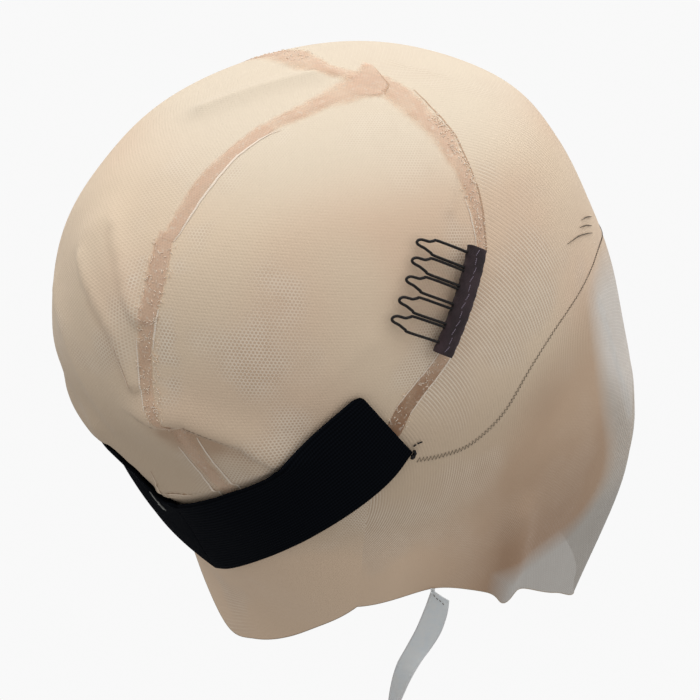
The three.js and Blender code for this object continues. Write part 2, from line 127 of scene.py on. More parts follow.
# The lace bags over the upper edge of the band, and the band draws in what is under it. Rows as in CREASES.
BAGS = [
    ([(-50, 82, -95), (-37.5, 87.5, -103.5), (-22, 88.5, -113.5), (-14, 88, -118), (-9, 94.3, -108.5),
      (2, 98, -102.5), (20, 93, -103.5), (37.5, 87, -103), (52, 80, -92), (62, 68, -78)], 10, 2.2, 2.0),
    ([(8, 96.5, -103), (20, 93.2, -103.4), (34, 88.2, -103.2)], 8, 3.0, 1.5),
    ([(12, 84, -123), (24, 83, -118), (36, 79, -115), (50, 70, -109), (64, 57, -96), (72, 45, -84)],
     12, 12, -4.0),
]
RIDGE_TURN = 0.4  # height over a crease within which one half width gives way to the other
SLACK, SLACK_BACK, SLACK_LOW = 0.16, 0.2, 0.35  # loose waves everywhere, and what the back and the foot add
# A fold of the front lace beside the face, where it lies double, with a painted highlight along it.
STREAK = [(-66.3, -51, -74), (-63.4, -61.9, -96), (-60.5, -71.3, -114.6), (-60, -76, -130)]

ROOTS = np.sqrt(SECTIONS[:, 0])


def eased(start, end, leave, arrive, t):
    """A cubic from start to end with a slope at each."""
    rise = end - start
    return start + t * (leave + t * (3 * rise - 2 * leave - arrive + t * (leave + arrive - 2 * rise)))


def reach(column, drop):
    """Reach of the sections in one direction at each drop."""
    root = np.minimum(np.sqrt(drop), ROOTS[-1])
    row = np.clip(np.searchsorted(ROOTS, root) - 1, 0, len(ROOTS) - 2)
    values = SECTIONS[:, column]
    low = np.maximum(np.arange(len(ROOTS)) - 1, 0)
    high = np.minimum(np.arange(len(ROOTS)) + 1, len(ROOTS) - 1)
    slopes = (values[high] - values[low]) / (ROOTS[high] - ROOTS[low])
    span = ROOTS[row + 1] - ROOTS[row]
    t = (root - ROOTS[row]) / span
    return eased(values[row], values[row + 1], slopes[row] * span, slopes[row + 1] * span, t)


def outside(points):
    """Which points lie outside the sections."""
    drop = np.maximum(-points[:, 2], 1e-9)
    long = np.where(points[:, 1] < 0, reach(1, drop), reach(2, drop))
    oval = np.abs(points[:, 0] / reach(3, drop)) ** OVAL + np.abs(points[:, 1] / long) ** OVAL
    return (points[:, 2] >= 0) | (oval > 1)


def away_from(points, line):
    """Distance of each point from a line through a row of places, and its height over it."""
    least, over = np.full(len(points), 1e9), np.zeros(len(points))
    line = np.array(line, float)
    for a, b in zip(line[:-1], line[1:]):
        ab = b - a
        t = np.clip((points - a) @ ab / (ab @ ab), 0, 1)
        gap = points - a - t[:, None] * ab
        far = np.linalg.norm(gap, axis=1)
        over = np.where(far < least, gap[:, 2], over)
        least = np.minimum(least, far)
    return least, over


def ridges(points, rows):
    """Height that a table of folds or creases gives each point."""
    total = np.zeros(len(points))
    for line, *widths, height in rows:
        far, over = away_from(points, line)
        upper = 1 / (1 + np.exp(-np.clip(over, -20, 20) / RIDGE_TURN))
        width = widths[-1] + (widths[0] - widths[-1]) * upper
        total += height * np.exp(-((far / width) ** 2))
    return total


def slack(points):
    """Slow waves of cloth that isn't quite tight."""
    x, y, z = points.T
    wave = np.sin(x / 9 + z / 23 + 0.6) * np.sin(y / 14 - z / 17 + 1.3)
    wave += 0.7 * np.sin(x / 15 - y / 11 + 2.1) * np.sin(z / 12 + y / 31)
    back, low = np.clip((y - 20) / 60, 0, 1), np.clip((-z - 90) / 60, 0, 1)
    return wave * (SLACK + SLACK_BACK * back + SLACK_LOW * low)


def unit(v):
    return v / np.linalg.norm(v, axis=-1, keepdims=True)


def towards(points):
    return unit(np.asarray(points, float) - MIDDLE)


def inside(directions):
    """Places on the cap's inner face."""
    d = directions.reshape(-1, 3)
    near, far = np.zeros(len(d)), np.full(len(d), FARTHEST)
    for _ in range(HALVINGS):
        half = (near + far) / 2
        out = outside(MIDDLE + d * half[:, None])
        far = np.where(out, half, far)
        near = np.where(out, near, half)
    p = MIDDLE + d * near[:, None]
    height = ridges(p, FOLDS) + ridges(p, CREASES) + ridges(p, BAGS) + slack(p)
    return (p + d * height[:, None]).reshape(directions.shape)


def normals(directions):
    d = directions.reshape(-1, 3)
    steep = np.abs(d[:, 2:]) > math.sqrt(0.5)
    first = unit(np.cross(d, np.where(steep, (1.0, 0, 0), (0, 0, 1.0))))
    turns = first, np.cross(d, first)
    u, v = (inside(unit(d + SMALL_TURN * turn)) - inside(unit(d - SMALL_TURN * turn)) for turn in turns)
    return unit(np.cross(u, v)).reshape(directions.shape)


def on_cap(directions, lift):
    """Places over the inner face, at one lift or at one for each direction."""
    return inside(directions) + normals(directions) * np.expand_dims(lift, -1)


def between(a, b, share):
    angle = np.arccos(np.clip((a * b).sum(-1, keepdims=True), -1, 1))
    angle = np.maximum(angle, 1e-6)
    return unit((np.sin((1 - share) * angle) * a + np.sin(share * angle) * b) / np.sin(angle))


def smooth_line(points, steps=60):
    """A Catmull-Rom curve through the points."""
    p = np.asarray(points, float)
    p = np.vstack([2 * p[0] - p[1], p, 2 * p[-1] - p[-2]])
    t = np.linspace(0, 1, steps, endpoint=False)[:, None]
    spans = zip(p[:-3], p[1:-2], p[2:-1], p[3:])
    return np.vstack([*(eased(b, c, (c - a) / 2, (d - b) / 2, t) for a, b, c, d in spans), p[-2:-1]])


def run_along(line):
    """Distance along a line at each of its points."""
    return np.r_[0, np.cumsum(np.linalg.norm(np.diff(line, axis=0), axis=1))]


class Guide:
    """A line over the cap, by its share from 0 to 1."""

    def __init__(self, rows):
        self.line = smooth_line(inside(towards(rows)))
        self.run = run_along(self.line)
        self.length = self.run[-1]

    def at(self, share):
        s = np.clip(np.asarray(share, float), 0, 1) * self.length
        return towards(np.stack([np.interp(s, self.run, c) for c in self.line.T], -1))

    def beside(self, share, sideways):
        """Directions at a distance to the left of the line, as it is followed on the outside."""
        d = self.at(share)
        ahead = unit(inside(self.at(share + SMALL_SHARE)) - inside(self.at(share - SMALL_SHARE)))
        across = unit(np.cross(normals(d), ahead))
        return towards(inside(d) + across * np.expand_dims(sideways, -1))


def mirrored(rows):
    return [(-x, y, z) for x, y, z in rows]


# Meshes
ANY_WAY = (0.3, 0.5, 0.8)  # a direction that no thread starts along


class Shape:
    """Points, faces and cloth coordinates of one piece, in millimetres."""

    def __init__(self):
        self.points, self.faces, self.maps, self.slots = [], [], [], []
        self.count = 0

    def grid(self, points, uv, slot=0, closed=False):
        """Quads between rows of points. Closed rows have one more column of uv, and their ends are filled."""
        rows, cols = points.shape[:2]
        rings = [
            [(r, c), (r + 1, c), (r + 1, c + 1), (r, c + 1)]
            for r in range(rows - 1)
            for c in range(cols if closed else cols - 1)
        ]
        if closed:
            rings += [[(0, c) for c in range(cols)], [(rows - 1, c) for c in reversed(range(cols))]]
        self.faces += [[self.count + i * cols + j % cols for i, j in ring] for ring in rings]
        self.maps += [[uv[i, j] for i, j in ring] for ring in rings]
        self.slots += [slot] * len(rings)
        self.points.append(points.reshape(-1, 3))
        self.count += rows * cols

    def tube(self, line, radius, sides, slot=0):
        """A round thread along a line, with one radius or one for each point."""
        ahead = unit(np.gradient(line, axis=0))
        up = np.cross(ahead[0], ANY_WAY)
        turn = np.arange(sides + 1) * 2 * math.pi / sides
        circle = np.cos(turn)[:-1, None], np.sin(turn)[:-1, None]
        radius = np.broadcast_to(radius, len(line))
        rings = []
        for p, a, r in zip(line, ahead, radius):
            up = unit(up - (up @ a) * a)
            rings.append(p + r * (circle[0] * up + circle[1] * np.cross(a, up)))
        uv = np.stack(np.broadcast_arrays(turn * np.max(radius), run_along(line)[:, None]), -1)
        self.grid(np.array(rings), uv, slot, closed=True)

    def mesh(self, name):
        made = bpy.data.meshes.new(name)
        made.from_pydata((np.vstack(self.points) / 1000).tolist(), [], self.faces)
        layer = made.uv_layers.new(name="cloth_mm")
        layer.data.foreach_set("uv", np.array([c for m in self.maps for c in m], float).ravel())
        made.polygons.foreach_set("material_index", self.slots)
        made.update()
        return made


def placed(name, data):
    made = bpy.data.objects.new(name, data)
    bpy.context.scene.collection.objects.link(made)
    return made


def keep(name, shape, materials, slot, node=None, **values):
    """Makes a shape a piece of the cap. Each extra value has a number for each point."""
    mesh = shape.mesh(name)
    for key, value in values.items():
        made = mesh.attributes.new(key, "FLOAT", "POINT")
        made.data.foreach_set("value", np.asarray(value, np.float32))
    piece = placed(name, mesh)
    for m in materials:
        mesh.materials.append(m)
    mesh.polygons.foreach_set("use_smooth", [True] * len(mesh.polygons))
    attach(piece, "root")
    if node:
        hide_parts(node)
    return piece


def threads(name, lines, sides, material, slot):
    """A piece of round threads, each with its line and radius."""
    shape = Shape()
    for line, radius in lines:
        shape.tube(line, radius, sides)
    return keep(name, shape, [material], slot)


def lofted(name, rings, place, run, material, slot, node):
    """A closed piece through rings, with its cloth laid out by place round them and run along them."""
    shape = Shape()
    shape.grid(rings, np.stack(np.broadcast_arrays(place, run[:, None]), -1), closed=True)
    return keep(name, shape, [material], slot, node)


# Materials
def lin(r, g, b):
    """A display colour, 0 to 255, as the linear one that shaders take."""
    c = np.array((r, g, b)) / 255
    return (*np.where(c <= 0.04045, c / 12.92, ((c + 0.055) / 1.055) ** 2.4), 1.0)


class Paint:
    """A node material. Each method adds a node and gives its output."""

    def __init__(self, name, **sockets):
        self.material = bpy.data.materials.new(name)
        self.material.use_nodes = True
        self.tree = self.material.node_tree
        self.shader = self.tree.nodes["Principled BSDF"]
        for socket, value in sockets.items():
            self.shader.inputs[socket.replace("_", " ")].default_value = value

    def node(self, kind, *values, **settings):
        made = self.tree.nodes.new(kind)
        for key, value in settings.items():
            setattr(made, key, value)
        for socket, value in zip(made.inputs, values):
            self.give(socket, value)
        return made

    def give(self, socket, value):
        if isinstance(value, bpy.types.NodeSocket):
            self.tree.links.new(value, socket)
        elif value is not None:
            socket.default_value = value

    def set(self, socket, value):
        self.give(self.shader.inputs[socket], value)

    def math(self, operation, *values):
        return self.node("ShaderNodeMath", *values, operation=operation).outputs[0]

    def vector(self, operation, *values):
        made = self.node("ShaderNodeVectorMath", *values, operation=operation)
        return made.outputs["Value" if operation in ("LENGTH", "DOT_PRODUCT") else "Vector"]

    def cloth(self):
        return self.node("ShaderNodeUVMap", uv_map="cloth_mm").outputs[0]

    def place(self):
        return self.node("ShaderNodeTexCoord").outputs["Object"]

    def read(self, name):
        return self.node("ShaderNodeAttribute", attribute_name=name).outputs["Fac"]

    def noise(self, where, scale, detail=2.0):
        return self.node("ShaderNodeTexNoise", where, None, scale, detail).outputs["Fac"]

    def ramp(self, value, low, high, start=0.0, end=1.0):
        limits = (low, high, start, end)
        return self.node("ShaderNodeMapRange", value, *limits, interpolation_type="SMOOTHSTEP").outputs[0]

    def mix(self, share, a, b):
        return self.node("ShaderNodeMix", share, *[None] * 5, a, b, data_type="RGBA").outputs[2]

    def patches(self, where, scale, detail, low, high):
        return self.ramp(self.noise(where, scale, detail), low, high)

    def bump(self, height, distance, strength):
        made = self.node("ShaderNodeBump")
        for socket, value in (("Strength", strength), ("Distance", distance), ("Height", height)):
            self.give(made.inputs[socket], value)
        self.set("Normal", made.outputs[0])

    def parts(self, where):
        return self.node("ShaderNodeSeparateXYZ", where).outputs

    def times(self, a, b):
        return self.math("MULTIPLY", a, b)

    def wave(self, value, length):
        """A sine that comes round at each length."""
        return self.math("SINE", self.times(value, 2 * math.pi / length))

    def unsteady(self, where, scale, detail, spread):
        """Noise to both sides of zero."""
        return self.times(self.math("SUBTRACT", self.noise(where, scale, detail), 0.5), spread)

    def hexagons(self, where, cell):
        """Distance from the middle of a hexagon of a net, 0.5 at its threads."""
        p = self.vector("DIVIDE", where, (cell, cell * math.sqrt(3), 1.0))
        flat = (1.0, math.sqrt(3), 0.0)
        local = []
        for shift in (0.0, 0.5):
            moved = self.vector("FRACTION", self.vector("ADD", p, (shift, shift, 0.0)))
            local.append(self.vector("MULTIPLY", self.vector("SUBTRACT", moved, (0.5, 0.5, 0.0)), flat))
        nearer = self.math("LESS_THAN", *(self.vector("LENGTH", p) for p in local))
        chosen = self.node("ShaderNodeMix", nearer, *[None] * 3, *local[::-1], data_type="VECTOR")
        size = self.vector("ABSOLUTE", chosen.outputs[1])
        slant = self.vector("DOT_PRODUCT", size, (0.5, math.sqrt(0.75), 0.0))
        return self.math("MAXIMUM", self.parts(size)[0], slant)

    def slant_lines(self, where, pitch, angle):
        """Distance from the nearest line of a slanted family, 0.5 midway between two."""
        turn = (math.cos(angle) / pitch, math.sin(angle) / pitch, 0.0)
        along = self.math("FRACT", self.vector("DOT_PRODUCT", where, turn))
        return self.math("SUBTRACT", 0.5, self.math("ABSOLUTE", self.math("SUBTRACT", along, 0.5)))


LACE_TOP = lin(236, 220, 197)
LACE_LIGHT = lin(243, 220, 192)
LACE_ROSE = lin(241, 212, 184)
# Painted shade: a darker cream for the lace low on the dome.
LACE_SHADED_LOW = lin(221, 198, 171)
LACE_DOUBLED_SHADE = lin(186, 152, 124)
LACE_PALE = lin(255, 243, 226)
LACE_HOLE = lin(178, 142, 112)
# Painted light: a paler cream for the lace below the band.
LACE_LIT_NECK = lin(244, 215, 185)
# Painted shade: darker tints for the veil over the face, mixed in patches, and a deeper one for its lowest
# part.
VEIL_SHADE_PALE = lin(214, 184, 155)
VEIL_SHADE_DEEP = lin(186, 151, 123)
VEIL_SHADE_LOW = lin(172, 139, 112)
# Painted shade: the sheer veil is grey, as threads seen against the light, darkest at its tip.
SHEER_HIGH = lin(238, 226, 210)
SHEER_SHADED_TIP = lin(186, 183, 176)
SHEER_THREAD = lin(240, 238, 232)
SHEER_FOLD_HIGHLIGHT = lin(232, 230, 224)
# Tints of the dome by height, in metres: where each starts, where it is full, and the tint. The top is a
# cooler cream, the darker tint lower down is painted shade, and the paler one below the band is painted
# light.
DOME_TINTS = [(-0.024, -0.004, LACE_TOP), (-0.06, -0.1, LACE_SHADED_LOW), (-0.118, -0.14, LACE_LIT_NECK)]
VEIL_TIP = (-0.14, -0.165)  # heights between which the sheer veil turns grey and closes
# Nets: cell in millimetres, and the height of their relief in metres.
HEXAGON, TAPE_HEXAGON, SLANT = 1.1, 1.0, 1.3
SLANT_MAIN, SLANT_CROSS = math.radians(-20), math.radians(46)
NET_RELIEF = 0.00012
BACK_PLAIN, FRONT_PLAIN = 0.52, 0.45  # noise from which each net shows plainly
NET_CLOTH = {"Roughness": 0.85, "Specular_IOR_Level": 0.2}


def lace_tint(paint, place):
    """Cream and rose by turns on the dome, with painted shade low down and over the face at the front,
    painted light below the band, and a darker tint in the folds that is partly doubled lace and partly
    painted shade.
    """
    height = paint.parts(place)[2]
    high = paint.mix(paint.patches(place, 16.0, 1.0, 0.38, 0.62), LACE_LIGHT, LACE_ROSE)
    # By height: painted shade low on the dome and painted light below the band.
    for start, full, tint in DOME_TINTS:
        high = paint.mix(paint.ramp(height, start, full), high, tint)
    # The veil over the face takes painted shade, deeper low down.
    low = paint.mix(paint.patches(place, 18.0, 1.0, 0.3, 0.7), VEIL_SHADE_PALE, VEIL_SHADE_DEEP)
    low = paint.mix(paint.ramp(height, -0.1, -0.14, 0.0, 0.5), low, VEIL_SHADE_LOW)
    tint = paint.mix(paint.read("veil"), high, low)
    # Folds take a darker tint, partly doubled lace and partly painted shade under them.
    return paint.mix(paint.times(paint.read("doubled_and_shaded"), 0.6), tint, LACE_DOUBLED_SHADE)


def net_strength(paint, place, low):
    """How plainly the net shows: in patches, and beside the seams."""
    patch = paint.ramp(paint.noise(place, 26.0), low, low + 0.16, 0.03, 0.8)
    beside = paint.times(paint.read("seam"), paint.patches(place, 60.0, 2.0, 0.4, 0.56))
    calm = paint.ramp(paint.read("veil"), 0.0, 1.0, 1.0, 0.35)
    calm = paint.times(calm, paint.ramp(paint.parts(place)[2], -0.008, -0.05, 0.4, 1.0))
    return paint.times(paint.math("MAXIMUM", patch, beside), calm)


def net_colour(paint, place, thread, low):
    """The net's tint, paler on its threads and deeper in its holes where it shows."""
    strength = net_strength(paint, place, low)
    hole = paint.times(strength, paint.math("MULTIPLY_ADD", thread, -0.4, 0.4))
    shine = paint.times(strength, paint.times(thread, 0.6))
    base = paint.mix(hole, lace_tint(paint, place), LACE_HOLE)
    return paint.mix(shine, base, LACE_PALE)


def back_net():
    paint = Paint("hexagonal_net", Sheen_Weight=0.1, **NET_CLOTH)
    place = paint.place()
    width = paint.math("ADD", 0.26, paint.unsteady(place, 140.0, 2.0, 0.24))
    thread = paint.ramp(paint.hexagons(paint.cloth(), HEXAGON), width, paint.math("ADD", width, 0.14))
    paint.set("Base Color", net_colour(paint, place, thread, BACK_PLAIN))
    paint.bump(thread, NET_RELIEF, 0.5)
    return paint.material


def front_net():
    paint = Paint("diagonal_net", Sheen_Weight=0.1, **NET_CLOTH)
    cloth, place = paint.cloth(), paint.place()
    main = paint.slant_lines(cloth, SLANT, SLANT_MAIN)
    cross = paint.math("ADD", paint.slant_lines(cloth, SLANT, SLANT_CROSS), 0.14)
    width = paint.math("ADD", 0.27, paint.unsteady(place, 140.0, 2.0, 0.14))
    thread = paint.ramp(paint.math("MINIMUM", main, cross), width, paint.math("SUBTRACT", width, 0.14))
    colour = net_colour(paint, place, thread, FRONT_PLAIN)
    sheer, lit_fold = paint.read("sheer"), paint.read("lit_fold")
    height = paint.parts(place)[2]
    # The sheer part is painted a shaded grey that deepens towards the tip.
    grey = paint.mix(paint.ramp(height, *VEIL_TIP), SHEER_HIGH, SHEER_SHADED_TIP)
    grey = paint.mix(paint.times(thread, 0.35), grey, SHEER_THREAD)
    # Painted highlight along the fold in the sheer veil; the fold also covers more below.
    grey = paint.mix(lit_fold, grey, SHEER_FOLD_HIGHLIGHT)
    paint.set("Base Color", paint.mix(paint.times(sheer, 0.85), colour, grey))
    cover = paint.math("MULTIPLY_ADD", thread, 0.2, 0.44)
    cover = paint.math("MULTIPLY_ADD", lit_fold, 0.2, cover)
    sheer = paint.times(sheer, paint.ramp(height, *VEIL_TIP, 1.0, 0.16))
    missing = paint.times(sheer, paint.math("SUBTRACT", 1.0, cover))
    paint.set("Alpha", paint.math("SUBTRACT", 1.0, missing))
    paint.bump(thread, NET_RELIEF, 0.5)
    return paint.material


def tape_cloth():
    """Doubled net, faint at a soft edge and ragged at a firm one, with painted shade lower down and by the
    ear. Its aside runs from -1 to 1.
    """
    paint = Paint("seam_tape", Sheen_Weight=0.15, **NET_CLOTH)
    place = paint.place()
    weave = paint.ramp(paint.hexagons(paint.cloth(), TAPE_HEXAGON), 0.4, 0.24)
    blot = paint.patches(place, 120.0, 3.0, 0.36, 0.64)
    _, ahead, height = paint.parts(place)
    # Painted shade: the tape turns from the lighter tint to the darker one lower down.
    light = paint.mix(blot, lin(250, 221, 196), lin(241, 207, 180))
    dark = paint.mix(blot, lin(250, 220, 192), lin(234, 200, 171))
    base = paint.mix(paint.ramp(height, -0.015, -0.07), light, dark)
    # Painted shade: much darker low on the front tape by the ear.
    ear = paint.times(paint.ramp(ahead, 0.075, 0.06), paint.ramp(height, -0.06, -0.076))
    base = paint.mix(ear, base, lin(176, 134, 103))
    base = paint.mix(paint.times(weave, 0.2), base, lin(176, 138, 110))
    fleck = paint.patches(place, 800.0, 2.0, 0.58, 0.68)
    paint.set("Base Color", paint.mix(paint.times(fleck, 0.5), base, lin(252, 238, 220)))
    near = paint.math("ADD", paint.read("aside"), paint.unsteady(place, 480.0, 3.0, 0.4))
    upper = paint.ramp(near, 1.0, paint.ramp(paint.read("soft_above"), 0.0, 1.0, 0.86, 0.0))
    under = paint.ramp(near, -1.0, paint.ramp(paint.read("soft_below"), 0.0, 1.0, -0.86, -0.2))
    body = paint.math("MULTIPLY_ADD", blot, 0.3, 0.5)
    paint.set("Alpha", paint.times(paint.times(upper, under), body))
    paint.bump(paint.math("ADD", weave, blot), 0.0002, -0.4)
    return paint.material


def elastic():
    paint = Paint("knitted_elastic", Roughness=0.9, Specular_IOR_Level=0.02)
    across, along, _ = paint.parts(paint.cloth())
    knit = paint.math("ADD", paint.wave(across, 1.1), paint.times(paint.wave(along, 0.8), 0.6))
    paint.set("Base Color", paint.mix(paint.ramp(knit, -1.2, 1.4), lin(9, 11, 15), lin(18, 21, 27)))
    paint.bump(knit, 0.00008, 0.8)
    return paint.material


def binding():
    paint = Paint("woven_binding", Roughness=0.75, Sheen_Weight=0.1, Specular_IOR_Level=0.3)
    across, along, _ = paint.parts(paint.cloth())
    weave = paint.times(paint.wave(across, 0.5), paint.wave(along, 0.6))
    fade = paint.patches(paint.place(), 160.0, 3.0, 0.35, 0.7)
    base = paint.mix(fade, lin(50, 38, 41), lin(72, 55, 60))
    paint.set("Base Color", paint.mix(paint.ramp(weave, -1.0, 1.0, 0.0, 0.4), base, lin(30, 22, 25)))
    paint.bump(weave, 0.0001, 0.7)
    return paint.material


def wire_coat():
    paint = Paint("coated_wire", Metallic=0.3, Specular_IOR_Level=0.5)
    wear = paint.noise(paint.place(), 900.0)
    paint.set("Base Color", paint.mix(paint.ramp(wear, 0.55, 0.75), lin(14, 9, 9), lin(42, 32, 30)))
    paint.set("Roughness", paint.ramp(wear, 0.3, 0.7, 0.32, 0.5))
    return paint.material


def satin():
    paint = Paint("satin_ribbon", Sheen_Weight=0.3, Specular_IOR_Level=0.5)
    across = paint.parts(paint.cloth())[0]
    fleck = paint.noise(paint.place(), 300.0, 3.0)
    base = paint.mix(paint.ramp(fleck, 0.35, 0.7), lin(252, 255, 255), lin(246, 252, 255))
    edge = paint.ramp(paint.math("ABSOLUTE", across), 3.7, 4.2)
    paint.set("Base Color", paint.mix(edge, base, lin(255, 255, 255)))
    paint.set("Roughness", paint.ramp(fleck, 0.3, 0.7, 0.3, 0.42))
    paint.bump(paint.wave(across, 0.35), 0.00006, 0.6)
    return paint.material


def thread(name, dark, light):
    paint = Paint(name, Roughness=0.7, Specular_IOR_Level=0.3)
    ply = paint.wave(paint.parts(paint.cloth())[1], 0.6)
    paint.set("Base Color", paint.mix(paint.ramp(ply, -1.0, 1.0), dark, light))
    paint.bump(ply, 0.00005, 0.6)
    return paint.material


BACK_NET = back_net()
FRONT_NET = front_net()
TAPE = tape_cloth()
ELASTIC = elastic()
BINDING = binding()
WIRE = wire_coat()
SATIN = satin()
BROWN_THREAD = thread("brown_thread", lin(84, 73, 62), lin(120, 106, 90))
BLACK_THREAD = thread("black_thread", lin(12, 11, 12), lin(32, 30, 32))
GREY_THREAD = thread("grey_thread", lin(98, 86, 98), lin(140, 128, 142))
TACK_THREAD = thread("tack_thread", lin(132, 132, 128), lin(176, 176, 170))
PALE_THREAD = thread("pale_thread", lin(250, 228, 206), lin(255, 244, 228))
# Painted highlight on the folded edges of the lace, over their own paler tone.
FOLD_EDGE_HIGHLIGHT = thread("fold_edge", lin(236, 212, 186), lin(246, 226, 204))
FOLD_THREAD = thread("fold_thread", lin(196, 160, 130), lin(214, 180, 150))
EDGE_THREAD = thread("edge_thread", lin(176, 158, 136), lin(196, 178, 156))

# Guide lines in use
seam_right = Guide(FRONT_SEAM)
seam_left = Guide(mirrored(FRONT_SEAM))
seam_across = Guide([*FRONT_SEAM[::-1], *mirrored(FRONT_SEAM)[1:]])
seam_back = Guide(BACK_SEAM)
face_edge = Guide([*FACE_EDGE, *mirrored(FACE_EDGE)[::-1][1:]])
nape_right = Guide(NAPE_EDGE_RIGHT)
nape_left = Guide(NAPE_EDGE_LEFT)
BACK_TAPE_START = (2.5, -9, -0.3)  # its upper end, which laps over the front tape
back_line = Guide([BACK_TAPE_START, *BACK_SEAM])
CROWN = seam_across.length / 2
# Lines beside the seams where the net shows plainly: guide, start, end, aside, half width.
PLAIN_NET = [
    (back_line, 52, 108, 7, 4.5),
    (back_line, 128, 150, 9, 5),
    (back_line, 112, 126, -8, 4),
    (seam_across, CROWN - 70, CROWN - 45, -7, 5),
    (seam_across, CROWN - 88, CROWN - 72, 9, 6),
]

# Lace panels
MEAN_RADIUS = 100
EDGE_RADIUS = 0.13
PANEL_START = 0.0008  # share of the seams where the back panels start, clear of the crown's point
# The veil is where the front lace takes its painted shade over the face.
VEIL_FADE, VEIL_BACK, VEIL_BACK_FADE = 30, 35, 40  # the veil grows below the hairline and fades to the ear
# Where the front lace turns sheer: depth below the crown and place from front to back, and a rounded corner.
SHEER_FROM = [(50, -46), (71, -47), (87, -50), (104, -54), (118, -58), (134, -64), (147, -65), (160, -64)]
SHEER_ROUND = 24
# It turns at a plain edge on the wearer's right and gradually on the left: a value for each.
SHEER_BACKWARD, SHEER_FOOT, SHEER_BEHIND, SHEER_FADE = (0, 20), (-163, -153), (-6, 0), (11, 55)
SHEER_HAIR_FADE = 14
STREAK_HALF = 3


def flattened(directions, centre):
    """Cloth coordinates, laid out round a middle direction, in millimetres."""
    c = unit(np.array(centre, float))
    x = unit(np.cross((0.0, 0, 1), c))
    y = np.cross(c, x)
    angle = np.arccos(np.clip(directions @ c, -1, 1))
    a, b = directions @ x, directions @ y
    h = np.maximum(np.hypot(a, b), 1e-9)
    return np.stack([MEAN_RADIUS * angle * a / h, MEAN_RADIUS * angle * b / h], -1)


def veil_values(points):
    """How far each point lies in the veil, in its sheer part and in the fold with a painted highlight, from 0
    to 1.
    """
    x, y, z = points.T
    below = np.interp(y, *np.array(HAIRLINE).T[1:]) - z
    veil = np.clip(below / VEIL_FADE, 0, 1) * np.clip((VEIL_BACK - y) / VEIL_BACK_FADE, 0, 1)
    left = np.clip((x + 20) / 70, 0, 1)
    sides = (SHEER_BACKWARD, SHEER_FOOT, SHEER_BEHIND, SHEER_FADE)
    backward, foot, behind, fade = (a + (b - a) * left for a, b in sides)
    front = np.interp(-z, *np.array(SHEER_FROM).T) + backward - y
    under = np.minimum(foot - z, behind - y)
    over = np.hypot(np.maximum(front + SHEER_ROUND, 0), np.maximum(under + SHEER_ROUND, 0)) - SHEER_ROUND
    sheer = np.clip(over / fade + 0.5, 0, 1) * np.clip(below / SHEER_HAIR_FADE, 0, 1)
    lit_fold = np.clip(1.2 - away_from(points, STREAK)[0] / STREAK_HALF, 0, 1)
    return {"veil": veil, "sheer": sheer, "lit_fold": lit_fold}


def plain_net(points):
    """How near each point is to the lines where the net shows plainly."""
    plain = np.zeros(len(points))
    for guide, start, end, aside, half in PLAIN_NET:
        line = inside(guide.beside(np.linspace(start, end, 12) / guide.length, aside))
        plain = np.maximum(plain, np.clip(1.3 - away_from(points, line)[0] / half, 0, 1))
    return plain


def lace(node, directions, centre, material, slot, foot):
    """One panel of net with the cut edge along its foot."""
    points = on_cap(directions, LACE_LIFT)
    shape = Shape()
    shape.grid(points, flattened(directions, centre))
    shape.tube(points[foot], EDGE_RADIUS, 5, slot=1)
    every = np.vstack(shape.points)
    values = veil_values(every)
    # The darker bands along the folds: doubled lace and painted shade.
    values |= {"doubled_and_shaded": np.clip(ridges(every, SHADES), 0, 1), "seam": plain_net(every)}
    return keep(f"{node}_net", shape, [material, EDGE_THREAD], slot, node, **values)


def shares(count):
    return np.linspace(0, 1, count + 1)


def column(values):
    return values[None, :, None]


def back_directions(seam, foot, count):
    t = np.r_[PANEL_START, shares(230)[1:]]
    s = column(shares(count))
    straight = between(seam.at([1.0])[:, None], seam_back.at([1.0])[:, None], s)
    lead = (foot.at(shares(count))[None] - straight) * (t**4)[:, None, None]
    return unit(between(seam.at(t)[:, None], seam_back.at(t)[:, None], s) + lead)


t = shares(300)
rows = between(seam_across.at(t)[:, None], face_edge.at(t)[:, None], column(shares(130)))
front = lace("front_lace", rows, (0, -0.82, 0.4), FRONT_NET, "front_net", np.s_[:, -1])
rows = back_directions(seam_right, nape_right, 120)
back_right = lace("back_lace_right", rows, (-0.75, 0.55, 0.1), BACK_NET, "back_net", np.s_[-1])
rows = back_directions(seam_left, nape_left, 140)
back_left = lace("back_lace_left", rows, (0.6, 0.7, 0.1), BACK_NET, "back_net", np.s_[-1])

# Seam tapes: soft strips of doubled net on the lace, with a pale cord along parts of their edges
TAPE_LIFTS = [(-1, 0.53), (-0.9, 0.6), (-0.5, 0.66), (0, 0.7), (0.5, 0.66), (0.9, 0.62), (1, 0.54)]
TAPE_ASIDE = np.linspace(-1, 1, 15)
TAPE_PUFF, TAPE_WANDER = 0.08, 0.3  # how much its face puffs and its edges waver
CORD_ASIDE = np.linspace(-1, 1, 6)
CORD_LIFT, CORD_WANDER = 0.64, 0.2
CORD_WIDE, CORD_HIGH = 1.8, 0.3  # half width and height of a flat cord, by its radius
PALE, FOLD = 1, 2  # places of the cords' threads among the tape's materials
FIRM_FROM, FIRM_FADE = 85, 15  # arc from which the front tape's edges are firm
LAP_FRONT, LAP_LOWER = 0.22, 0.15  # rise of the back tape's upper length over what it laps
FLECK_LIFTS, FLECK_RADIUS = 0.72 + np.array((0, 0.1, 0.1, 0)), 0.11
